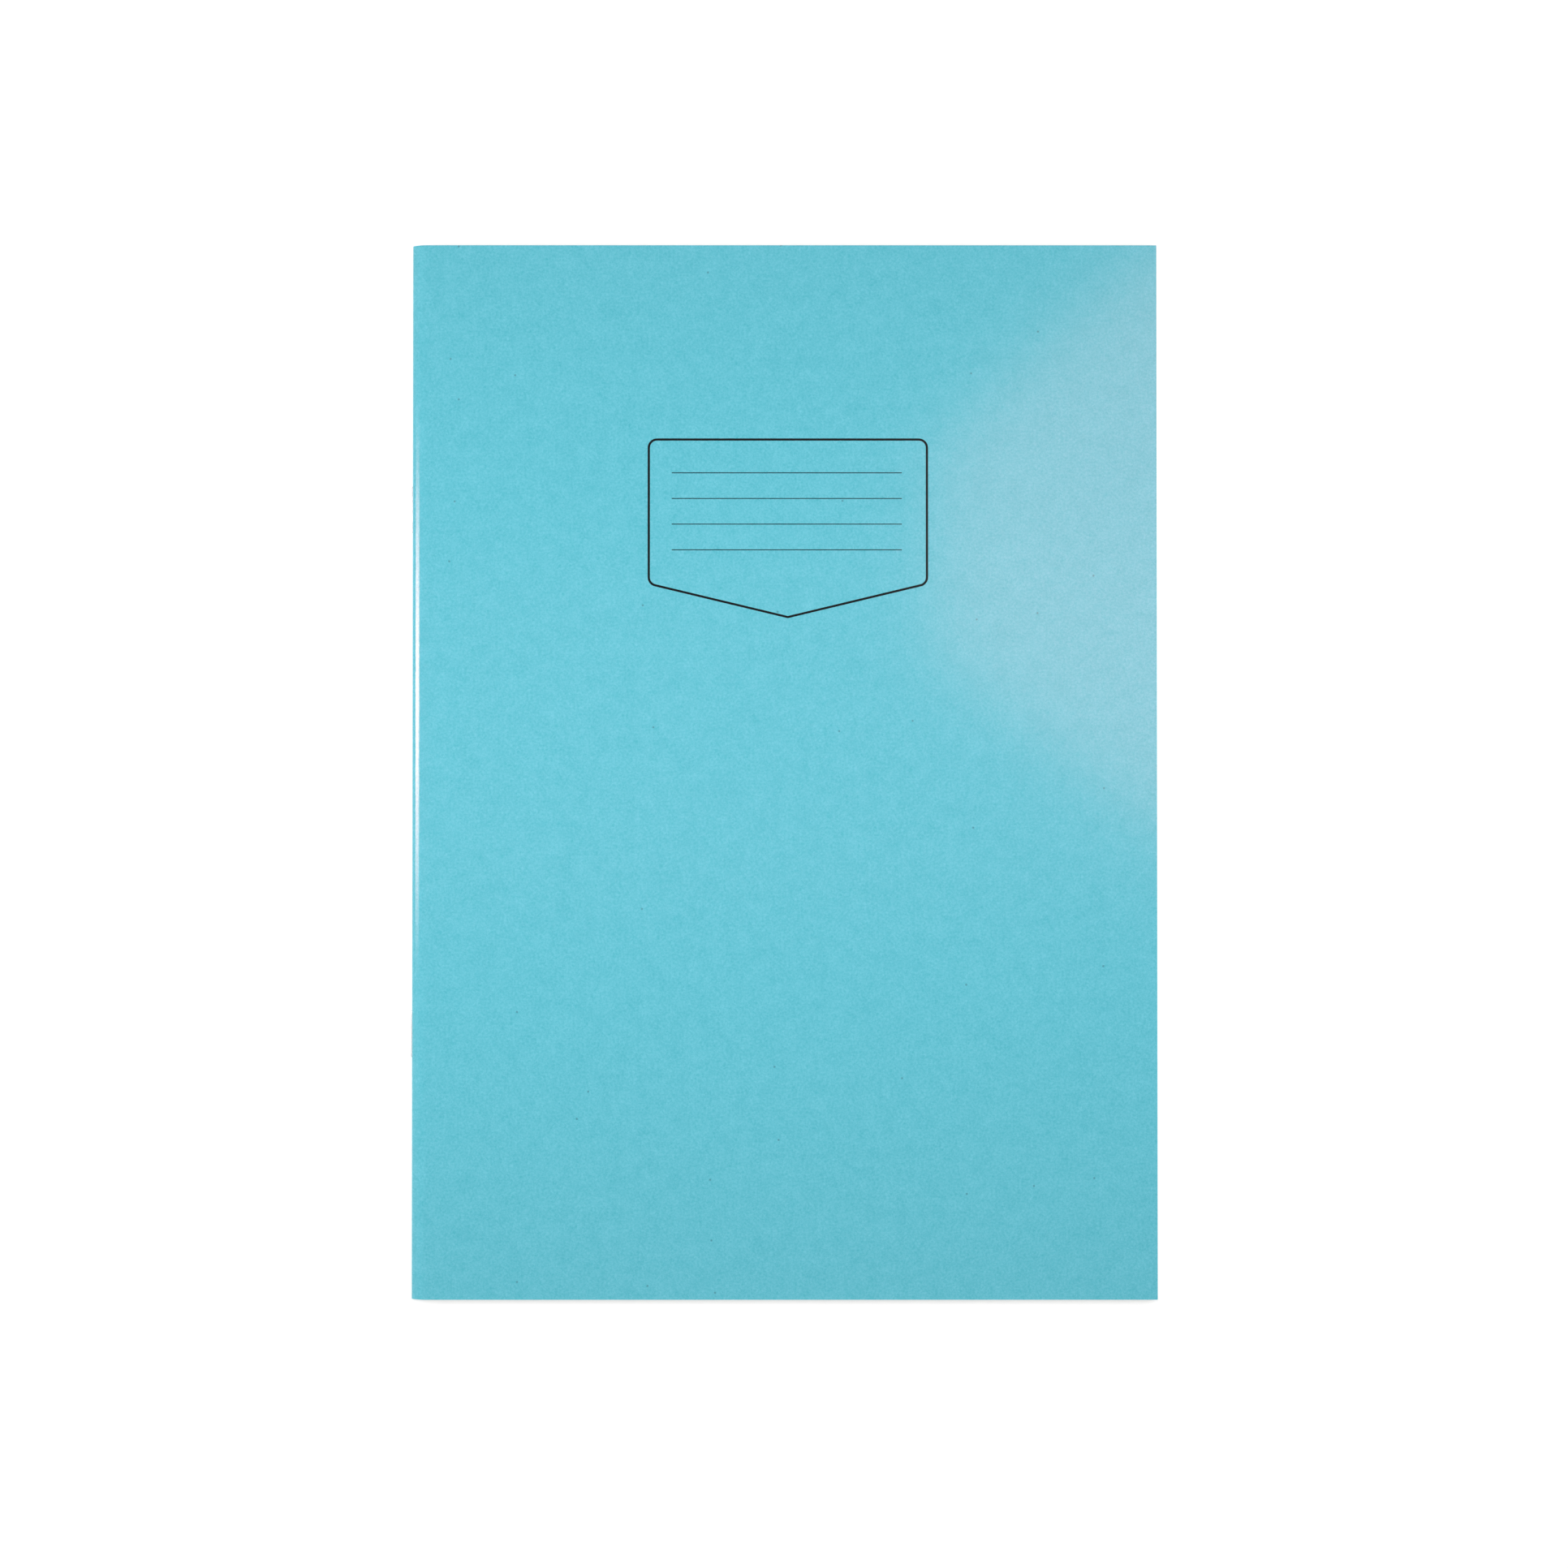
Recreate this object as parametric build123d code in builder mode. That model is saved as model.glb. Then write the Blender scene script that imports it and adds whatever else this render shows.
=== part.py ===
"""A4 stapled exercise book, closed, lying on its back cover.

Millimetres, +Z up out of the front cover, +Y towards the head of the page, spine at -X.
The origin is the middle of the underside. One card cover and a stack of nested sheets are
folded together, and two wire staples are driven through the fold and bent over inside it.
"""
import os
from math import cos, radians, sin

from build123d import *

# Book
BOOK_WIDTH = 210.0       # spine edge to fore-edge, closed
BOOK_HEIGHT = 297.0      # head to tail
SHEETS = 20              # folded sheets, two leaves each

# Paper and card
PAPER = 0.095            # thickness of one leaf
PAPER_AIR = 0.005        # air between one leaf and the next
COVER = 0.28             # thickness of the laminated card
FOLD_SHOULDER = 1.85     # what the round of the spine runs on past half the book's thickness
NOSE_ANGLE = 50.0        # degrees each way from the spine line that the tight part of the round takes
FOLD_LAND = 0.4          # flat after the round, where the folds end and the leaves begin
CREASE_LAND = 1.2        # flat of the front cover between there and the crease it opens on

# Staples
WIRE = 0.5               # wire diameter
WIRE_BEND = 0.15         # what a tight bend cuts off each corner of the wire's path
WIRE_ROOM = 0.02         # beside the bent-over wire in the centrefold
CROWN_BITE = 0.2         # how deep the crown is pressed into the card of the spine
PIERCE_ROOM = 0.02       # round the wire where it is pressed into the card and pierces the sheets
CROWN = 13.0             # between the centre lines of the two legs
CLINCH = 5.0             # bent-over length of each leg
STAPLE_SPACING = 148.0   # between the middles of the two staples

# Half the book, counted in from the outside of the card to the middle of the centrefold
leaf_pitch = PAPER + PAPER_AIR
wire_radius = WIRE / 2
eye_radius = wire_radius + WIRE_ROOM
half_thickness = COVER + SHEETS * leaf_pitch + eye_radius
thickness = 2 * half_thickness

# Places along X: the crown stands proud of the spine, and the whole is centred on the origin
crown_proud = WIRE - CROWN_BITE
spine_x = (crown_proud - BOOK_WIDTH) / 2
fore_x = spine_x + BOOK_WIDTH
turn_x = spine_x + half_thickness
fold_x = turn_x + FOLD_SHOULDER + FOLD_LAND
crease_x = fold_x + CREASE_LAND
crown_x = spine_x - crown_proud + wire_radius

# Places along Y and Z. Sections of the fold are drawn at the head and run down to the tail
middle_z = half_thickness
head_plane = Plane.XZ.offset(-BOOK_HEIGHT / 2)
staple_places = {"staple_upper": STAPLE_SPACING / 2, "staple_lower": -STAPLE_SPACING / 2}
crown_places = [(crown_x, staple_y, middle_z) for staple_y in staple_places.values()]
leg_places = [
    (staple_y + side * CROWN / 2, middle_z)
    for staple_y in staple_places.values()
    for side in (-1, 1)
]


def leaf_depth(sheet):
    """How far the outer face of this sheet lies inside the outer face of the card."""
    return COVER + PAPER_AIR + (sheet - 1) * leaf_pitch


def fold_line(depth):
    """Draw the line of the fold, front to back, at this depth inside the card's outer face.

    The innermost line is a half circle round the staple wire. The lines outside it draw out into
    three-centred arches, a tight nose between two wide shoulders, up to the full shoulder at the
    spine. Returns the front and the back end.
    """
    height = half_thickness - depth
    shoulder = FOLD_SHOULDER * (height - eye_radius) / (half_thickness - eye_radius)
    rise = sin(radians(NOSE_ANGLE))
    spread = shoulder / (rise + cos(radians(NOSE_ANGLE)) - 1)
    nose_radius = height - spread * (1 - rise)
    wide_radius = height + spread * rise
    shoulder_angle = 90 - NOSE_ANGLE
    front_end = (fold_x, middle_z + height)
    back_end = (fold_x, middle_z - height)
    front = CenterArc(
        (turn_x + shoulder, middle_z + height - wide_radius), wide_radius, 90, shoulder_angle
    )
    CenterArc((turn_x - height + nose_radius, middle_z), nose_radius, 180 - NOSE_ANGLE, 2 * NOSE_ANGLE)
    back = CenterArc(
        (turn_x + shoulder, middle_z - height + wide_radius), wide_radius, 180 + NOSE_ANGLE, shoulder_angle
    )
    Line(front_end, front @ 0)
    Line(back @ 1, back_end)
    return front_end, back_end


def write(part, label):
    part.label = label
    export_step(part, f"parts/{label}.step")


os.makedirs("parts", exist_ok=True)

# Holes that the chisel-cut legs pierce, drawn on a plane along the spine, for card and sheets
with BuildSketch(Plane.YZ.offset(crown_x)) as leg_holes:
    with Locations(*leg_places):
        Rectangle(WIRE + 2 * PIERCE_ROOM, WIRE + 2 * PIERCE_ROOM)

# Back panel of the card, flat from the fold to the trimmed fore-edge
with BuildPart() as back_cover:
    with BuildSketch():
        with Locations((fold_x, 0)):
            Rectangle(fore_x - fold_x, BOOK_HEIGHT, align=(Align.MIN, Align.CENTER))
    extrude(amount=COVER)
write(back_cover.part, "back_cover")

# Spine of the card: it turns round the nested sheets and runs on to the crease of the front panel.
# Each crown lies in a groove that it pressed into the card
with BuildPart() as cover_spine:
    with BuildSketch(head_plane):
        with BuildLine():
            outer_front, outer_back = fold_line(0)
            inner_front, inner_back = fold_line(COVER)
            Line(outer_back, inner_back)
            Polyline(inner_front, (crease_x, thickness - COVER), (crease_x, thickness), outer_front)
        make_face()
    extrude(amount=BOOK_HEIGHT)
    extrude(leg_holes.sketch, amount=turn_x - crown_x, mode=Mode.SUBTRACT)
    with Locations(*crown_places):
        Cylinder(wire_radius + PIERCE_ROOM, CROWN, rotation=(90, 0, 0), mode=Mode.SUBTRACT)
write(cover_spine.part, "cover_spine")

# Front panel of the card, from its crease to the fore-edge
with BuildPart() as front_cover:
    with BuildSketch(Plane.XY.offset(thickness - COVER)):
        with Locations((crease_x, 0)):
            Rectangle(fore_x - crease_x, BOOK_HEIGHT, align=(Align.MIN, Align.CENTER))
    extrude(amount=COVER)
write(front_cover.part, "front_cover")

# Folds of the sheets, nested one inside the next, the outermost first
with BuildPart() as sheet_folds:
    with BuildSketch(head_plane):
        for sheet in range(1, SHEETS + 1):
            with BuildLine():
                outer_front, outer_back = fold_line(leaf_depth(sheet))
                inner_front, inner_back = fold_line(leaf_depth(sheet) + PAPER)
                Line(outer_front, inner_front)
                Line(outer_back, inner_back)
            make_face()
    extrude(amount=BOOK_HEIGHT)
    extrude(leg_holes.sketch, amount=turn_x - crown_x, mode=Mode.SUBTRACT)
write(sheet_folds.part, "sheet_folds")

# Leaves: each sheet gives one in the front half and one as far from the outside in the back half
for sheet in range(1, SHEETS + 1):
    front_z = thickness - leaf_depth(sheet) - PAPER
    back_z = leaf_depth(sheet)
    for number, leaf_z in ((sheet, front_z), (2 * SHEETS + 1 - sheet, back_z)):
        with BuildPart() as leaf:
            with BuildSketch(Plane.XY.offset(leaf_z)):
                with Locations((fold_x, 0)):
                    Rectangle(fore_x - fold_x, BOOK_HEIGHT, align=(Align.MIN, Align.CENTER))
            extrude(amount=PAPER)
        write(leaf.part, f"leaf_{number:02d}")

# Staples: crown on the spine, legs through the fold, ends bent towards each other in the centrefold
for label, staple_y in staple_places.items():
    low_y = staple_y - CROWN / 2
    high_y = staple_y + CROWN / 2
    with BuildPart() as staple:
        with BuildLine() as wire_path:
            Polyline(
                (turn_x, low_y + CLINCH, middle_z),
                (turn_x, low_y + WIRE_BEND, middle_z),
                (turn_x - WIRE_BEND, low_y, middle_z),
                (crown_x + WIRE_BEND, low_y, middle_z),
                (crown_x, low_y + WIRE_BEND, middle_z),
                (crown_x, high_y - WIRE_BEND, middle_z),
                (crown_x + WIRE_BEND, high_y, middle_z),
                (turn_x - WIRE_BEND, high_y, middle_z),
                (turn_x, high_y - WIRE_BEND, middle_z),
                (turn_x, high_y - CLINCH, middle_z),
            )
        with BuildSketch(wire_path.line ^ 0):
            Circle(wire_radius)
        sweep(transition=Transition.RIGHT)
    write(staple.part, label)
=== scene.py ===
"""Looks of a stapled A4 exercise book, closed and lying on its back cover, seen from above.

Metres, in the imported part's frame: spine at -X, head at +Y, front cover up.
"""
from math import cos, pi, radians, sin

import bpy
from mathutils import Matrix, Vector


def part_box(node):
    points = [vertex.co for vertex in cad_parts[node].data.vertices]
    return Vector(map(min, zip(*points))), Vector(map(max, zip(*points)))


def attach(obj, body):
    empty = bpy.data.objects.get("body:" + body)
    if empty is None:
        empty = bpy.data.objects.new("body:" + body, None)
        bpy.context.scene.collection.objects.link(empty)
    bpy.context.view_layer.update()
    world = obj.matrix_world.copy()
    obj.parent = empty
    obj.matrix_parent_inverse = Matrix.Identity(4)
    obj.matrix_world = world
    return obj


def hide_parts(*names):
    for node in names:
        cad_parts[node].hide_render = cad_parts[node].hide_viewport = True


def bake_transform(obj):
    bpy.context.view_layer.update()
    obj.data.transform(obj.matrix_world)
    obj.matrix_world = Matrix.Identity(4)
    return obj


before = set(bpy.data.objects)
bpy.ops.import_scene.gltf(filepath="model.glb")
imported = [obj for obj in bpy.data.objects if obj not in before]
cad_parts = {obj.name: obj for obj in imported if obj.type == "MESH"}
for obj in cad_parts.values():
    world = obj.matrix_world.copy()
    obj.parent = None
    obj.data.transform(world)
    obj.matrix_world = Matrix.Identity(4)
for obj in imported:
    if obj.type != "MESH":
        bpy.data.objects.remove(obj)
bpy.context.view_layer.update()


# Card cover. One sheet of dyed card, laminated on the outside only, is folded round the sheets and
# trimmed flush with them. It is made here in three lengths that meet along the nose of the spine and
# just short of the crease that the front panel opens on.
back_low, back_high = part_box("back_cover")
front_low, front_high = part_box("front_cover")
spine_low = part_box("cover_spine")[0]
centre_leaf_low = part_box("leaf_20")[0]
card = back_high.z - back_low.z
thickness = front_high.z - back_low.z
half_book = thickness / 2
inside_fold = half_book - card
middle_z = half_book
turn_x = spine_low.x + half_book
fold_x = back_low.x
crease_x = front_low.x
fore_x = front_high.x
tail_y, head_y = front_low.y, front_high.y
eye_height = centre_leaf_low.z - middle_z

FOLD_SHOULDER = 0.00185      # what the round of the spine runs on past half the book's thickness
NOSE_ANGLE = radians(50)     # each way from the spine line, what the tight part of the round takes
ARC_STEPS = 12


def half_fold(height, side):
    """Points (x, z) of half a fold, from its leaf to its nose, on the front (side 1) or the back (-1).

    height is how far the leaf lies from the middle of the book. A wide shoulder runs into a tight
    nose, drawn out more the further the fold lies from the eye round the staple wire.
    """
    shoulder = FOLD_SHOULDER * (height - eye_height) / (half_book - eye_height)
    spread = shoulder / (sin(NOSE_ANGLE) + cos(NOSE_ANGLE) - 1)
    nose = height - spread * (1 - sin(NOSE_ANGLE))
    wide = height + spread * sin(NOSE_ANGLE)
    arcs = (
        (turn_x + shoulder, height - wide, wide, pi / 2, pi / 2 - NOSE_ANGLE),
        (turn_x - height + nose, 0, nose, pi - NOSE_ANGLE, NOSE_ANGLE),
    )
    points = []
    for centre_x, centre_z, radius, start, sweep in arcs:
        for step in range(ARC_STEPS):
            angle = start + sweep * step / ARC_STEPS
            rise = centre_z + radius * sin(angle)
            points.append((centre_x + radius * cos(angle), middle_z + side * rise))
    points.append((turn_x - height, middle_z))
    return points


def section_mesh(name, upper, lower):
    """The section of a sheet in XZ: a ribbon of faces between two lines of (x, z, overlay) points.

    Both lines run towards the spine. overlay is 1 at both ends of a stretch that takes the overlay
    finish, and -1 at both ends of a cut edge, which takes no ink.
    """
    count = len(upper)
    outline = upper + lower[::-1]
    edges = [(i, (i + 1) % (2 * count)) for i in range(2 * count)]
    faces = [(i, i + 1, 2 * count - 2 - i, 2 * count - 1 - i) for i in range(count - 1)]
    mesh = bpy.data.meshes.new(name)
    mesh.from_pydata([(x, 0, z) for x, z, overlay in outline], edges, faces)
    attribute = mesh.attributes.new("overlay", "FLOAT", "POINT")
    attribute.data.foreach_set("value", [overlay for x, z, overlay in outline])
    return mesh


def add_node(tree, kind, inputs=None, **options):
    """Adds a node, sets its options, and fills its inputs with values or other nodes' outputs."""
    made = tree.nodes.new(kind)
    for option, value in options.items():
        setattr(made, option, value)
    for key, value in (inputs or {}).items():
        if isinstance(value, bpy.types.NodeSocket):
            tree.links.new(value, made.inputs[key])
        else:
            made.inputs[key].default_value = value
    return made


def calc(tree, operation, *values):
    """The result of a maths node on these values."""
    made = add_node(tree, "ShaderNodeMath", dict(enumerate(values)), operation=operation)
    return made.outputs[0]


def new_geometry_tree(name, inputs):
    """A geometry tree with these named inputs, and the sockets of its group input and output."""
    tree = bpy.data.node_groups.new(name, "GeometryNodeTree")
    tree.interface.new_socket("Geometry", in_out="INPUT", socket_type="NodeSocketGeometry")
    for label, kind in inputs.items():
        tree.interface.new_socket(label, in_out="INPUT", socket_type="NodeSocket" + kind)
    tree.interface.new_socket("Geometry", in_out="OUTPUT", socket_type="NodeSocketGeometry")
    given = tree.nodes.new("NodeGroupInput").outputs
    result = tree.nodes.new("NodeGroupOutput").inputs
    return tree, given, result


SMOOTH_ANGLE = radians(30)   # edges that turn more than this stay sharp


def build_with(tree, name, base, values):
    """Runs the tree on a base mesh and keeps what it makes as a plain mesh object."""
    piece = bpy.data.objects.new(name, base)
    bpy.context.scene.collection.objects.link(piece)
    modifier = piece.modifiers.new(tree.name, "NODES")
    modifier.node_group = tree
    for socket in tree.interface.items_tree:
        if socket.in_out == "INPUT" and socket.name in values:
            modifier[socket.identifier] = values[socket.name]
    evaluated = piece.evaluated_get(bpy.context.evaluated_depsgraph_get())
    mesh = bpy.data.meshes.new_from_object(evaluated)
    piece.modifiers.remove(modifier)
    piece.data = mesh
    mesh.name = name
    if mesh.materials[0] is None:
        mesh.materials.pop(index=0)
    mesh.shade_smooth()
    mesh.set_sharp_from_angle(angle=SMOOTH_ANGLE)
    return piece


def captured_place(tree, geometry):
    """Keeps where each point lies, to be read after a sweep. Returns the geometry and the X, Y and Z."""
    place = add_node(tree, "GeometryNodeInputPosition").outputs[0]
    capture = add_node(tree, "GeometryNodeCaptureAttribute", {"Geometry": geometry})
    capture.capture_items.new("VECTOR", "Place")
    tree.links.new(place, capture.inputs["Place"])
    parts = add_node(tree, "ShaderNodeSeparateXYZ", {0: capture.outputs["Place"]})
    return capture.outputs["Geometry"], parts.outputs


MERGE_DISTANCE = 1e-7


def swept_sheet_tree():
    """Sweeps a section from head to tail, cut along each ruled line, and gives every face its finish."""
    tree, given, result = new_geometry_tree(
        "swept_sheet",
        {
            "Head": "Float",
            "Tail": "Float",
            "First line": "Float",
            "Line pitch": "Float",
            "Line width": "Float",
            "Lines": "Int",
            "Body": "Material",
            "Overlay": "Material",
            "Line ink": "Material",
        },
    )
    # Cuts across the sheet: the head, both edges of every line, and the tail
    index = add_node(tree, "GeometryNodeInputIndex").outputs[0]
    edge = calc(tree, "SUBTRACT", index, 1)
    line = calc(tree, "FLOOR", calc(tree, "DIVIDE", edge, 2))
    side = calc(tree, "SUBTRACT", calc(tree, "MODULO", edge, 2), 0.5)
    line_y = calc(tree, "SUBTRACT", given["First line"], calc(tree, "MULTIPLY", line, given["Line pitch"]))
    edge_y = calc(tree, "SUBTRACT", line_y, calc(tree, "MULTIPLY", side, given["Line width"]))
    last = calc(tree, "MULTIPLY_ADD", given["Lines"], 2, 1)
    at_head = calc(tree, "LESS_THAN", index, 0.5)
    at_tail = calc(tree, "GREATER_THAN", index, calc(tree, "SUBTRACT", last, 0.5))
    for at_end, end in ((at_head, "Head"), (at_tail, "Tail")):
        switch = add_node(
            tree, "GeometryNodeSwitch", {0: at_end, 1: edge_y, 2: given[end]}, input_type="FLOAT"
        )
        edge_y = switch.outputs[0]
    cut_place = add_node(tree, "ShaderNodeCombineXYZ", {"Y": edge_y})
    cuts = add_node(
        tree, "GeometryNodePoints", {"Count": calc(tree, "ADD", last, 1), "Position": cut_place.outputs[0]}
    )
    way = add_node(tree, "GeometryNodePointsToCurves", {"Points": cuts.outputs[0]})

    beside = add_node(tree, "GeometryNodeInputMeshEdgeNeighbors")
    on_outline = calc(tree, "LESS_THAN", beside.outputs["Face Count"], 1.5)
    section = add_node(
        tree, "GeometryNodeMeshToCurve", {"Mesh": given["Geometry"], "Selection": on_outline}
    )
    section_curve, section_xyz = captured_place(tree, section.outputs[0])
    way_curve, way_xyz = captured_place(tree, way.outputs[0])
    swept = add_node(
        tree, "GeometryNodeCurveToMesh", {"Curve": way_curve, "Profile Curve": section_curve}
    )
    sheet_place = add_node(
        tree, "ShaderNodeCombineXYZ", {"X": section_xyz["X"], "Y": way_xyz["Y"], "Z": section_xyz["Z"]}
    )
    placed = add_node(
        tree, "GeometryNodeSetPosition", {"Geometry": swept.outputs[0], "Position": sheet_place.outputs[0]}
    )

    # The section closes both ends, turned over at the head
    tail_end, head_end = (
        add_node(
            tree,
            "GeometryNodeSetPosition",
            {
                "Geometry": given["Geometry"],
                "Offset": add_node(tree, "ShaderNodeCombineXYZ", {"Y": given[end]}).outputs[0],
            },
        ).outputs[0]
        for end in ("Tail", "Head")
    )
    turned_end = add_node(tree, "GeometryNodeFlipFaces", {"Mesh": head_end}).outputs[0]
    joined = add_node(tree, "GeometryNodeJoinGeometry")
    for shell in (turned_end, tail_end, placed.outputs[0]):
        tree.links.new(shell, joined.inputs[0])
    closed = add_node(
        tree, "GeometryNodeMergeByDistance", {"Geometry": joined.outputs[0], "Distance": MERGE_DISTANCE}
    )

    # Finishes: a face between two marked points takes the overlay, one centred on a line takes its ink
    overlay = add_node(tree, "GeometryNodeInputNamedAttribute", {"Name": "overlay"}, data_type="FLOAT")
    covered = calc(tree, "GREATER_THAN", overlay.outputs["Attribute"], 0.75)
    face_place = add_node(tree, "GeometryNodeInputPosition").outputs[0]
    face_y = add_node(tree, "ShaderNodeSeparateXYZ", {0: face_place}).outputs["Y"]
    lines_down = calc(
        tree, "DIVIDE", calc(tree, "SUBTRACT", given["First line"], face_y), given["Line pitch"]
    )
    last_line = calc(tree, "SUBTRACT", given["Lines"], 1)
    nearest = calc(tree, "MAXIMUM", calc(tree, "MINIMUM", calc(tree, "ROUND", lines_down), last_line), 0)
    off_line = calc(tree, "ABSOLUTE", calc(tree, "SUBTRACT", lines_down, nearest))
    is_ruled = calc(tree, "GREATER_THAN", given["Lines"], 0.5)
    is_uncut = calc(tree, "GREATER_THAN", overlay.outputs["Attribute"], -0.75)
    takes_ink = calc(tree, "MULTIPLY", is_ruled, is_uncut)
    on_line = calc(tree, "MULTIPLY", calc(tree, "LESS_THAN", off_line, 0.25), takes_ink)
    solid = add_node(tree, "GeometryNodeRealizeInstances", {0: closed.outputs[0]})
    finished = solid.outputs[0]
    for finish, chosen in (
        ("Body", {}),
        ("Line ink", {"Selection": on_line}),
        ("Overlay", {"Selection": covered}),
    ):
        inputs = {"Geometry": finished, "Material": given[finish], **chosen}
        finished = add_node(tree, "GeometryNodeSetMaterial", inputs).outputs[0]
    tree.links.new(finished, result[0])
    return tree


def new_material(name):
    """A material's own tree, its shader, and the object's coordinates."""
    material = bpy.data.materials.new(name)
    material.use_nodes = True
    tree = material.node_tree
    shader = tree.nodes["Principled BSDF"]
    place = add_node(tree, "ShaderNodeTexCoord").outputs["Object"]
    return material, tree, shader, place


def fibre_group():
    """Pulp fibres in card and paper: cloudy and fine differences of tone, and a height for the surface."""
    tree = bpy.data.node_groups.new("pulp_fibres", "ShaderNodeTree")
    tree.interface.new_socket("Place", in_out="INPUT", socket_type="NodeSocketVector")
    for label in ("Cloud scale", "Cloud depth", "Fibre scale", "Fibre depth"):
        tree.interface.new_socket(label, in_out="INPUT", socket_type="NodeSocketFloat")
    for label in ("Tone", "Height"):
        tree.interface.new_socket(label, in_out="OUTPUT", socket_type="NodeSocketFloat")
    given = tree.nodes.new("NodeGroupInput").outputs
    result = tree.nodes.new("NodeGroupOutput").inputs
    tone = 1
    for size, depth in (("Cloud scale", "Cloud depth"), ("Fibre scale", "Fibre depth")):
        noise = add_node(
            tree,
            "ShaderNodeTexNoise",
            {
                "Vector": given["Place"],
                "Scale": given[size],
                "Detail": 3.0,
                "Roughness": 0.6,
                "Distortion": 0.6,
            },
        )
        swing = calc(tree, "SUBTRACT", noise.outputs[0], 0.5)
        tone = calc(tree, "MULTIPLY_ADD", swing, given[depth], tone)
    tree.links.new(tone, result["Tone"])
    tree.links.new(noise.outputs[0], result["Height"])
    return tree


pulp_fibres = fibre_group()


def fibres_in(tree, place, cloud, fibre):
    """The outputs of the pulp fibres in a material, with (scale, depth) of the clouds and the fibres."""
    made = add_node(tree, "ShaderNodeGroup", node_tree=pulp_fibres)
    for label, (scale, depth) in (("Cloud", cloud), ("Fibre", fibre)):
        made.inputs[label + " scale"].default_value = scale
        made.inputs[label + " depth"].default_value = depth
    tree.links.new(place, made.inputs["Place"])
    return made.outputs


DYE = (0.107, 0.545, 0.660)
RED_SWING = 3.6              # how much more the red swings than the green and the blue
SPECK = (0.035, 0.200, 0.270, 1)
SPECK_CELLS = 55.0           # places for a speck, in each metre
SPECK_PICK = 0.8             # the cells that draw more than this have one
SPECK_CORE = 0.008           # full and faded out at these shares of a cell
SPECK_RIM = 0.022
SPECK_STRENGTH = 0.7


def card_material(name, roughness, grain):
    """Dyed card: mottled pulp with a few dark specks, and a surface grain of this depth."""
    material, tree, shader, place = new_material(name)
    fibres = fibres_in(tree, place, cloud=(220.0, 0.16), fibre=(1600.0, 0.45))
    # Undyed fibres show pale, most of all in the red that the dye takes out
    pale = calc(tree, "SUBTRACT", fibres["Tone"], 1)
    red_tone = calc(tree, "MULTIPLY_ADD", pale, RED_SWING, 1)
    tones = add_node(
        tree, "ShaderNodeCombineXYZ", {"X": red_tone, "Y": fibres["Tone"], "Z": fibres["Tone"]}
    )
    dyed = add_node(tree, "ShaderNodeVectorMath", {0: tones.outputs[0], 1: DYE}, operation="MULTIPLY")
    # A speck is a small round spot in the middle of some of the cells
    cells = add_node(
        tree, "ShaderNodeTexVoronoi", {"Vector": place, "Scale": SPECK_CELLS}, voronoi_dimensions="2D"
    )
    cell_pick = add_node(tree, "ShaderNodeSeparateColor", {0: cells.outputs["Color"]}).outputs[0]
    in_spot = add_node(
        tree,
        "ShaderNodeMapRange",
        {0: cells.outputs["Distance"], 1: SPECK_CORE, 2: SPECK_RIM, 3: SPECK_STRENGTH, 4: 0.0},
    ).outputs[0]
    speck = calc(tree, "MULTIPLY", in_spot, calc(tree, "GREATER_THAN", cell_pick, SPECK_PICK))
    colour = add_node(tree, "ShaderNodeMix", {0: speck, 6: dyed.outputs[0], 7: SPECK}, data_type="RGBA")
    tree.links.new(colour.outputs[2], shader.inputs["Base Color"])
    bump = add_node(tree, "ShaderNodeBump", {"Distance": grain, "Height": fibres["Height"]})
    tree.links.new(bump.outputs[0], shader.inputs["Normal"])
    shader.inputs["Roughness"].default_value = roughness
    return material, shader


LAMINATE_TINT = (1.0, 0.38, 0.30, 1)
bare_card, bare_shader = card_material("bare_card", roughness=0.8, grain=0.00002)
bare_shader.inputs["Specular IOR Level"].default_value = 0.3
laminated_card, laminate_shader = card_material("laminated_card", roughness=0.11, grain=0.0000015)
laminate_shader.inputs["Specular Tint"].default_value = LAMINATE_TINT

CREASE_REACH = 0.0006        # the front panel is cut across in steps over this length past its crease, where the card bends
CREASE_STEPS = 12
TRIM_STEP = 0.000005
seam_x = (fold_x + crease_x) / 2
crease_xs = [crease_x + CREASE_REACH * (1 - step / CREASE_STEPS) for step in range(CREASE_STEPS + 1)]

swept_sheet = swept_sheet_tree()
card_values = {
    "First line": head_y,
    "Line pitch": 1.0,
    "Lines": 0,
    "Body": bare_card,
    "Overlay": laminated_card,
    "Line ink": bare_card,
}


def sheet_piece(name, upper, lower, values, trim_steps):
    """A sheet swept between two lines of its section, cut a few steps short so that no ends coincide."""
    trim = trim_steps * TRIM_STEP
    ends = {"Head": head_y - trim, "Tail": tail_y + trim}
    return build_with(swept_sheet, name, section_mesh(name, upper, lower), {**values, **ends})


def card_piece(name, upper, lower, laminated, trim_steps):
    """A length of the card between two lines of (x, z) points, laminated on its upper or lower face."""
    marked_upper = [(x, z, int(laminated == "upper")) for x, z in upper]
    marked_lower = [(x, z, int(laminated == "lower")) for x, z in lower]
    piece = sheet_piece(name, marked_upper, marked_lower, card_values, trim_steps)
    return piece


card_back = card_piece(
    "card_back",
    upper=[(fore_x, card), (fold_x, card), *half_fold(inside_fold, -1)],
    lower=[(fore_x, 0), (fold_x, 0), *half_fold(half_book, -1)],
    laminated="lower",
    trim_steps=0,
)
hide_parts("back_cover", "cover_spine")
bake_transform(card_back)

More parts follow.
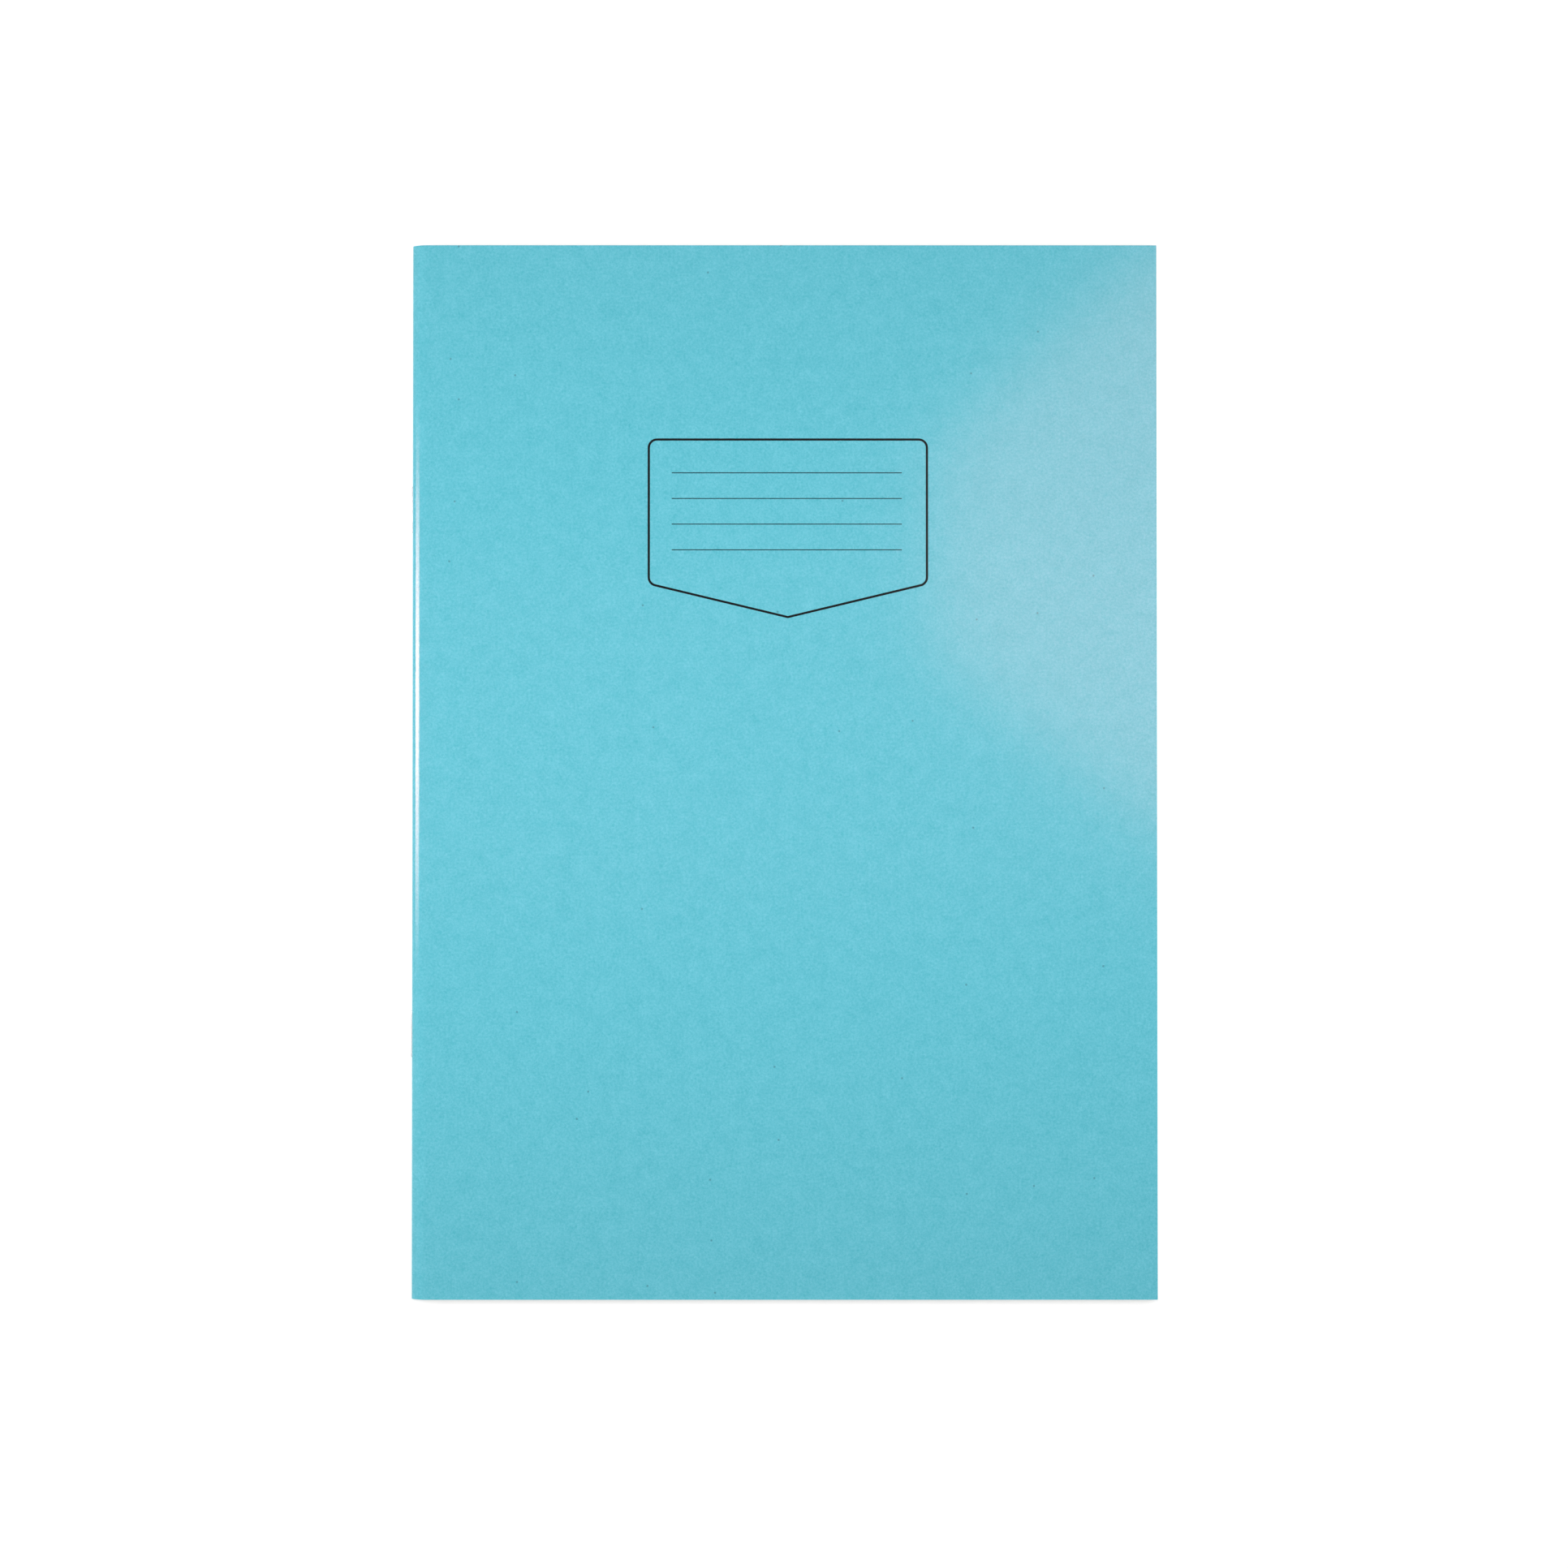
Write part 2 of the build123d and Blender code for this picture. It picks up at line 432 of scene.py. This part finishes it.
card_spine = card_piece(
    "card_spine",
    upper=[(seam_x, thickness), (fold_x, thickness), *half_fold(half_book, 1)],
    lower=[(seam_x, thickness - card), (fold_x, thickness - card), *half_fold(inside_fold, 1)],
    laminated="upper",
    trim_steps=1,
)
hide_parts("cover_spine")
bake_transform(card_spine)

front_xs = (fore_x, *crease_xs, seam_x)
card_front = card_piece(
    "card_front",
    upper=[(x, thickness) for x in front_xs],
    lower=[(x, thickness - card) for x in front_xs],
    laminated="upper",
    trim_steps=1,
)
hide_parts("front_cover")
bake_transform(card_front)


# Name plate. A plain outline with rounded corners and a pointed foot, round four rules to write on,
# printed in black on the card before it was laminated.
PLATE_WIDTH = 0.0784
PLATE_SIDE = 0.0407          # from the top to where the foot begins
PLATE_FOOT = 0.0094          # from there to the point
PLATE_BELOW_HEAD = 0.0549
PLATE_RIGHT_OF_MIDDLE = 0.00103
PLATE_CORNER = 0.0023
PLATE_LINE = 0.00064
CORNER_STEPS = 8
RULES = 4
RULE_LENGTH = 0.0649
RULE_LINE = 0.00024
RULE_PITCH = 0.00724
RULE_BELOW_TOP = 0.0094
RULE_LEFT_OF_PLATE_MIDDLE = 0.0003
INK_PROUD = 0.00001
INK_BLACK = (0.005, 0.006, 0.007)

book_middle_x = (spine_low.x + fore_x) / 2
plate_x = book_middle_x + PLATE_RIGHT_OF_MIDDLE
plate_top = head_y - PLATE_BELOW_HEAD


def toned(tree, colour, tone):
    """A colour made lighter or darker by a tone."""
    made = add_node(tree, "ShaderNodeVectorMath", {0: colour, "Scale": tone}, operation="SCALE")
    return made.outputs[0]


def print_ink_material():
    """Black ink under the laminate: dense, a little uneven where the fibres show through."""
    material, tree, shader, place = new_material("print_ink")
    fibres = fibres_in(tree, place, cloud=(60.0, 0.2), fibre=(900.0, 0.8))
    tree.links.new(toned(tree, INK_BLACK, fibres["Tone"]), shader.inputs["Base Color"])
    shader.inputs["Roughness"].default_value = 0.2
    shader.inputs["Specular IOR Level"].default_value = 0.1
    return material


def printed_line_tree():
    """A flat printed line along a path, rounded at the corners that have a radius."""
    tree, given, result = new_geometry_tree(
        "printed_line", {"Line width": "Float", "Ink thickness": "Float", "Ink": "Material"}
    )
    path = add_node(tree, "GeometryNodeMeshToCurve", {"Mesh": given["Geometry"]})
    radius = add_node(tree, "GeometryNodeInputNamedAttribute", {"Name": "corner"}, data_type="FLOAT")
    rounded = add_node(
        tree,
        "GeometryNodeFilletCurve",
        {"Curve": path.outputs[0], "Count": CORNER_STEPS, "Radius": radius.outputs["Attribute"]},
        mode="POLY",
    )
    upright = add_node(tree, "GeometryNodeSetCurveNormal", {"Curve": rounded.outputs[0]}, mode="Z_UP")
    band = add_node(
        tree,
        "GeometryNodeCurvePrimitiveQuadrilateral",
        {"Width": given["Line width"], "Height": given["Ink thickness"]},
    )
    line = add_node(
        tree,
        "GeometryNodeCurveToMesh",
        {"Curve": upright.outputs[0], "Profile Curve": band.outputs[0], "Fill Caps": True},
    )
    solid = add_node(tree, "GeometryNodeRealizeInstances", {0: line.outputs[0]})
    finished = add_node(
        tree, "GeometryNodeSetMaterial", {"Geometry": solid.outputs[0], "Material": given["Ink"]}
    )
    tree.links.new(finished.outputs[0], result[0])
    return tree


def write_on_rules_tree():
    """Equal rules one below the other, the first at the base point."""
    tree, given, result = new_geometry_tree(
        "write_on_rules",
        {
            "Rules": "Int",
            "Pitch": "Float",
            "Length": "Float",
            "Line width": "Float",
            "Ink thickness": "Float",
            "Ink": "Material",
        },
    )
    step = add_node(tree, "ShaderNodeCombineXYZ", {"Y": calc(tree, "MULTIPLY", given["Pitch"], -1)})
    rows = add_node(tree, "GeometryNodeMeshLine", {"Count": given["Rules"], "Offset": step.outputs[0]})
    bar_size = add_node(
        tree,
        "ShaderNodeCombineXYZ",
        {"X": given["Length"], "Y": given["Line width"], "Z": given["Ink thickness"]},
    )
    bar = add_node(tree, "GeometryNodeMeshCube", {"Size": bar_size.outputs[0]})
    first = add_node(
        tree, "GeometryNodeInstanceOnPoints", {"Points": given["Geometry"], "Instance": rows.outputs[0]}
    )
    starts = add_node(tree, "GeometryNodeRealizeInstances", {0: first.outputs[0]})
    bars = add_node(
        tree, "GeometryNodeInstanceOnPoints", {"Points": starts.outputs[0], "Instance": bar.outputs[0]}
    )
    solid = add_node(tree, "GeometryNodeRealizeInstances", {0: bars.outputs[0]})
    finished = add_node(
        tree, "GeometryNodeSetMaterial", {"Geometry": solid.outputs[0], "Material": given["Ink"]}
    )
    tree.links.new(finished.outputs[0], result[0])
    return tree


print_ink = print_ink_material()
plate_half = PLATE_WIDTH / 2
side_foot = plate_top - PLATE_SIDE
plate_path = (
    (plate_x - plate_half, plate_top, PLATE_CORNER),
    (plate_x - plate_half, side_foot, PLATE_CORNER),
    (plate_x, side_foot - PLATE_FOOT, 0),
    (plate_x + plate_half, side_foot, PLATE_CORNER),
    (plate_x + plate_half, plate_top, PLATE_CORNER),
)
plate_base = bpy.data.meshes.new("name_plate")
plate_base.from_pydata(
    [(x, y, thickness) for x, y, corner in plate_path],
    [(i, (i + 1) % len(plate_path)) for i in range(len(plate_path))],
    [],
)
corners = plate_base.attributes.new("corner", "FLOAT", "POINT")
corners.data.foreach_set("value", [corner for x, y, corner in plate_path])
name_plate = build_with(
    printed_line_tree(),
    "name_plate",
    plate_base,
    {"Line width": PLATE_LINE, "Ink thickness": 2 * INK_PROUD, "Ink": print_ink},
)
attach(name_plate, "front_cover")

rules_base = bpy.data.meshes.new("write_on_rules")
rules_base.from_pydata(
    [(plate_x - RULE_LEFT_OF_PLATE_MIDDLE, plate_top - RULE_BELOW_TOP, thickness)], [], []
)
write_on_rules = build_with(
    write_on_rules_tree(),
    "write_on_rules",
    rules_base,
    {
        "Rules": RULES,
        "Pitch": RULE_PITCH,
        "Length": RULE_LENGTH,
        "Line width": RULE_LINE,
        "Ink thickness": 2 * INK_PROUD,
        "Ink": print_ink,
    },
)
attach(write_on_rules, "front_cover")


# Sheets. Twenty sheets of uncoated paper, ruled with feint lines and a margin on both sides, are
# nested and folded together. Each makes two leaves that meet along the nose of its fold, and past the
# staple wire in the centrefold the leaves settle towards the middle.
SHEETS = 20
PAPER_AIR = 0.000005         # between the centre leaves, once they have settled
SETTLE = 0.015               # a leaf settles over this length past its fold
SETTLE_STEPS = 6
FIRST_TRIM = 2               # steps of the trim, after those that the card's lengths take
TRIM_ROUND = 4               # steps that the sheets take in turn, with others on the back
LINES = 33
LINE_PITCH = 0.008
LINE_WIDTH = 0.00025
FIRST_LINE = 0.027           # below the head
MARGIN = 0.020               # from the centrefold, or on the other face from the fore-edge
MARGIN_WIDTH = 0.0003
PAPER_WHITE = (0.86, 0.85, 0.80)
MARGIN_RED = (0.78, 0.36, 0.40)
FEINT_BLUE = (0.46, 0.58, 0.74)


def paper_material():
    """Uncoated paper: off-white, faintly cloudy, with a soft tooth."""
    material, tree, shader, place = new_material("uncoated_paper")
    fibres = fibres_in(tree, place, cloud=(80.0, 0.05), fibre=(1100.0, 0.06))
    tree.links.new(toned(tree, PAPER_WHITE, fibres["Tone"]), shader.inputs["Base Color"])
    bump = add_node(tree, "ShaderNodeBump", {"Distance": 0.00002, "Height": fibres["Height"]})
    tree.links.new(bump.outputs[0], shader.inputs["Normal"])
    shader.inputs["Roughness"].default_value = 0.9
    shader.inputs["Specular IOR Level"].default_value = 0.25
    return material


def ruling_ink(name, colour):
    """Thin printing ink that the paper's fibres show through."""
    material, tree, shader, place = new_material(name)
    fibres = fibres_in(tree, place, cloud=(80.0, 0.1), fibre=(1100.0, 0.3))
    tree.links.new(toned(tree, colour, fibres["Tone"]), shader.inputs["Base Color"])
    shader.inputs["Roughness"].default_value = 0.85
    shader.inputs["Specular IOR Level"].default_value = 0.25
    return material


sheet_values = {
    "First line": head_y - FIRST_LINE,
    "Line pitch": LINE_PITCH,
    "Line width": LINE_WIDTH,
    "Lines": LINES,
    "Body": paper_material(),
    "Overlay": ruling_ink("margin_ink", MARGIN_RED),
    "Line ink": ruling_ink("feint_ink", FEINT_BLUE),
}
by_fold = turn_x + MARGIN
by_fore_edge = fore_x - MARGIN
half_line = MARGIN_WIDTH / 2
closed_gap = eye_height - PAPER_AIR / 2


def settled(step):
    """Share of the way to the middle that a leaf has come at this step from the fold."""
    part = step / SETTLE_STEPS
    return part * part * (3 - 2 * part)


for number in range(1, 2 * SHEETS + 1):
    sheet = min(number, 2 * SHEETS + 1 - number)
    side = 1 if number == sheet else -1
    leaf_node = f"leaf_{number:02d}"
    leaf_low, leaf_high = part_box(leaf_node)
    drop = side * closed_gap * (sheet - 1) / (SHEETS - 1)
    bend = [
        (fold_x + SETTLE * step / SETTLE_STEPS, drop * settled(step), 0)
        for step in range(SETTLE_STEPS + 1)
    ]
    faces = []
    for face_z, fold_mark, fore_mark in ((leaf_high.z, 1, 0), (leaf_low.z, 0, 1)):
        flat = bend + [
            (by_fold - half_line, drop, fold_mark),
            (by_fold + half_line, drop, fold_mark),
            (by_fore_edge - half_line, drop, fore_mark),
            (by_fore_edge + half_line, drop, fore_mark),
            (fore_x, drop, -1),
        ]
        face = [(x, face_z - fall, mark) for x, fall, mark in reversed(flat)]
        face += [(x, z, 0) for x, z in half_fold(abs(face_z - middle_z), side)]
        faces.append(face)
    trim_steps = FIRST_TRIM + sheet % TRIM_ROUND + (TRIM_ROUND if side < 0 else 0)
    page = sheet_piece(f"page_{number:02d}", *faces, sheet_values, trim_steps)
    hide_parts(leaf_node, "sheet_folds")
    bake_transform(page)


# Staples. Galvanised wire, cut from a reel and driven through the spine from outside: a crown pressed
# into the card, two legs, and ends bent towards each other in the centrefold.
CLINCH = 0.005
WIRE_BEND = 0.0004
WIRE_SIDES = 20
WIRE_GREY = (0.52, 0.52, 0.53)
WIRE_TONE_SWING, WIRE_TONE_LEAST = 0.5, 0.75
WIRE_ROUGH_SWING, WIRE_ROUGH_LEAST = 0.3, 0.2


def wire_material():
    """Galvanised steel wire: drawn along its length, dull grey with brighter rubbed streaks."""
    material, tree, shader, place = new_material("galvanised_wire")
    streaks = add_node(tree, "ShaderNodeTexNoise", {"Vector": place, "Scale": 2500.0, "Detail": 4.0})
    tone = calc(tree, "MULTIPLY_ADD", streaks.outputs[0], WIRE_TONE_SWING, WIRE_TONE_LEAST)
    roughness = calc(tree, "MULTIPLY_ADD", streaks.outputs[0], WIRE_ROUGH_SWING, WIRE_ROUGH_LEAST)
    tree.links.new(toned(tree, WIRE_GREY, tone), shader.inputs["Base Color"])
    tree.links.new(roughness, shader.inputs["Roughness"])
    shader.inputs["Metallic"].default_value = 1.0
    return material


def bent_wire_tree():
    """Round wire along a path, with a tight bend at each corner."""
    tree, given, result = new_geometry_tree(
        "bent_wire", {"Wire radius": "Float", "Bend radius": "Float", "Wire": "Material"}
    )
    path = add_node(tree, "GeometryNodeMeshToCurve", {"Mesh": given["Geometry"]})
    bent = add_node(
        tree,
        "GeometryNodeFilletCurve",
        {"Curve": path.outputs[0], "Count": CORNER_STEPS, "Radius": given["Bend radius"]},
        mode="POLY",
    )
    ring = add_node(
        tree,
        "GeometryNodeCurvePrimitiveCircle",
        {"Resolution": WIRE_SIDES, "Radius": given["Wire radius"]},
    )
    wire = add_node(
        tree,
        "GeometryNodeCurveToMesh",
        {"Curve": bent.outputs[0], "Profile Curve": ring.outputs[0], "Fill Caps": True},
    )
    solid = add_node(tree, "GeometryNodeRealizeInstances", {0: wire.outputs[0]})
    finished = add_node(
        tree, "GeometryNodeSetMaterial", {"Geometry": solid.outputs[0], "Material": given["Wire"]}
    )
    tree.links.new(finished.outputs[0], result[0])
    return tree


bent_wire = bent_wire_tree()
galvanised_wire = wire_material()
for staple_node in ("staple_upper", "staple_lower"):
    wire_low, wire_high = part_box(staple_node)
    wire_radius = (wire_high.z - wire_low.z) / 2
    wire_z = wire_low.z + wire_radius
    crown_x = wire_low.x + wire_radius
    clinch_x = wire_high.x - wire_radius
    low_y = wire_low.y + wire_radius
    high_y = wire_high.y - wire_radius
    path = (
        (clinch_x, low_y + CLINCH),
        (clinch_x, low_y),
        (crown_x, low_y),
        (crown_x, high_y),
        (clinch_x, high_y),
        (clinch_x, high_y - CLINCH),
    )
    base = bpy.data.meshes.new(staple_node)
    base.from_pydata([(x, y, wire_z) for x, y in path], [(i, i + 1) for i in range(len(path) - 1)], [])
    staple = build_with(
        bent_wire,
        "wire_" + staple_node,
        base,
        {"Wire radius": wire_radius, "Bend radius": WIRE_BEND, "Wire": galvanised_wire},
    )
    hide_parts(staple_node)
    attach(staple, "stitch")


# Table and light. A white table in a white studio, an octagonal softbox over the right of the book
# whose reflection lies on the laminate, a softbox on the left that draws a line of light down the
# spine, a fill beside it, and a strip lamp across the book that falls off towards its head and tail.
TABLE_HALF = 12.0
TABLE_DROP = 0.00005         # below the book, so that no faces coincide
TABLE_GREY = (0.8, 0.8, 0.8, 1)
TABLE_NEAR = 0.25            # the lift to white grows between these distances from the book
TABLE_FAR = 0.75
TABLE_LIFT_NEAR = 0.45
TABLE_LIFT_FAR = 0.85
STUDIO_LEVEL_LIGHT = 1.0
STUDIO_OVERHEAD_LIGHT = 0.05
WHITE = (1, 1, 1, 1)


def seen_directly(tree):
    """1 for rays that show the studio itself, in view or mirrored, and 0 for those that light by it."""
    rays = add_node(tree, "ShaderNodeLightPath").outputs
    mirrored = calc(tree, "MAXIMUM", rays["Is Glossy Ray"], rays["Is Transmission Ray"])
    return calc(tree, "MAXIMUM", rays["Is Camera Ray"], mirrored)


def stage_piece(name, corners):
    """One flat face through these corners, with a plain material of its own name."""
    mesh = bpy.data.meshes.new(name)
    mesh.from_pydata(corners, [], [tuple(range(len(corners)))])
    piece = bpy.data.objects.new(name, mesh)
    bpy.context.scene.collection.objects.link(piece)
    material, tree, shader, place = new_material(name)
    shader.inputs["Specular IOR Level"].default_value = 0.0
    shader.inputs["Roughness"].default_value = 0.9
    shader.inputs["Emission Color"].default_value = WHITE
    mesh.materials.append(material)
    return piece, tree, shader


table_corners = [
    (x * TABLE_HALF, y * TABLE_HALF, -TABLE_DROP) for x, y in ((-1, -1), (1, -1), (1, 1), (-1, 1))
]
tree, shader = stage_piece("white_table", table_corners)[1:]
shader.inputs["Base Color"].default_value = TABLE_GREY
place = add_node(tree, "ShaderNodeTexCoord").outputs["Object"]
from_book = add_node(tree, "ShaderNodeVectorMath", {0: place}, operation="LENGTH").outputs["Value"]
lift = add_node(
    tree,
    "ShaderNodeMapRange",
    {0: from_book, 1: TABLE_NEAR, 2: TABLE_FAR, 3: TABLE_LIFT_NEAR, 4: TABLE_LIFT_FAR},
    interpolation_type="SMOOTHSTEP",
)
seen_lift = calc(tree, "MULTIPLY", seen_directly(tree), lift.outputs[0])
tree.links.new(seen_lift, shader.inputs["Emission Strength"])

studio = bpy.data.worlds.new("studio")
bpy.context.scene.world = studio
studio.use_nodes = True
tree = studio.node_tree
background = tree.nodes["Background"]
background.inputs["Color"].default_value = WHITE
direction = add_node(tree, "ShaderNodeTexCoord").outputs["Generated"]
height = add_node(tree, "ShaderNodeSeparateXYZ", {0: direction}).outputs["Z"]
light = add_node(
    tree, "ShaderNodeMapRange", {0: height, 3: STUDIO_LEVEL_LIGHT, 4: STUDIO_OVERHEAD_LIGHT}
).outputs[0]
level = calc(tree, "MAXIMUM", light, seen_directly(tree))
tree.links.new(level, background.inputs["Strength"])

BLACK = (0, 0, 0, 1)
OCTAGON_HEIGHT = 1.5
OCTAGON_LIGHT = 4.3
OCTAGON_CORNERS = (
    (0.12, 0.12),
    (0.12, 0.278),
    (0.3, 0.45),
    (0.46, 0.45),
    (0.6, 0.3),
    (0.6, 0.1),
    (0.46, -0.04),
    (0.31, -0.03),
)
octagon_corners = [(x, y, OCTAGON_HEIGHT) for x, y in OCTAGON_CORNERS]
octagon, tree, shader = stage_piece("octagon_softbox", octagon_corners)
shader.inputs["Base Color"].default_value = BLACK
shader.inputs["Emission Strength"].default_value = OCTAGON_LIGHT
octagon.visible_camera = False

SPINE_BOX_MIDDLE = (-1.2, 0.075, 0.55)
SPINE_BOX_HALF_LENGTH = 0.22
SPINE_BOX_UP = (0.104, 0.227)    # from its middle to its upper edge, along X and Z
SPINE_BOX_LIGHT = 24.0
box_x, box_y, box_z = SPINE_BOX_MIDDLE
up_x, up_z = SPINE_BOX_UP
spine_box_corners = [
    (box_x + rise * up_x, box_y + side * SPINE_BOX_HALF_LENGTH, box_z + rise * up_z)
    for side, rise in ((-1, -1), (-1, 1), (1, 1), (1, -1))
]
spine_softbox, tree, shader = stage_piece("spine_softbox", spine_box_corners)
shader.inputs["Base Color"].default_value = BLACK
place = add_node(tree, "ShaderNodeTexCoord").outputs["Object"]
box_place = add_node(tree, "ShaderNodeSeparateXYZ", {0: place}).outputs["Y"]
from_middle = calc(tree, "ABSOLUTE", calc(tree, "SUBTRACT", box_place, box_y))
glow = add_node(
    tree,
    "ShaderNodeMapRange",
    {0: from_middle, 1: 0.0, 2: SPINE_BOX_HALF_LENGTH, 3: SPINE_BOX_LIGHT, 4: 0.0},
    interpolation_type="SMOOTHSTEP",
)
tree.links.new(glow.outputs[0], shader.inputs["Emission Strength"])
spine_softbox.visible_camera = False
spine_softbox.visible_diffuse = False


def softbox(name, place, size, power):
    """A softbox turned to the middle of the book, which lights it without being mirrored in it."""
    light = bpy.data.lights.new(name, "AREA")
    light.shape = "RECTANGLE"
    light.size, light.size_y = size
    light.energy = power
    lamp = bpy.data.objects.new(name, light)
    bpy.context.scene.collection.objects.link(lamp)
    lamp.location = place
    lamp.rotation_euler = lamp.location.to_track_quat("Z", "Y").to_euler()
    lamp.visible_camera = False
    lamp.visible_glossy = False
    return lamp


softbox("left_fill", place=(-0.9, -0.1, 0.25), size=(1.0, 0.4), power=1.15)
overhead = softbox("overhead_strip", place=(-0.22, 0.02, 0.38), size=(1.2, 0.15), power=1.92)
overhead.rotation_euler = (0, 0, 0)

bpy.context.scene.view_settings.view_transform = "Standard"


# Camera. It hangs above the book and a little towards its tail, and looks almost straight down, as
# when the photograph was taken. Its lens and place were fitted to the outline of the cover.
CAMERA_SENSOR_MM = 36.0
CAMERA_LENS_MM = 65.56
CAMERA_PLACE = (-0.0004, -0.0124, 0.8091)
CAMERA_TURN = (radians(0.632), radians(-0.035), 0)
camera = bpy.data.objects.new("camera", bpy.data.cameras.new("camera"))
bpy.context.scene.collection.objects.link(camera)
camera.data.sensor_width = CAMERA_SENSOR_MM
camera.data.lens = CAMERA_LENS_MM
camera.location = CAMERA_PLACE
camera.rotation_euler = CAMERA_TURN
bpy.context.scene.camera = camera
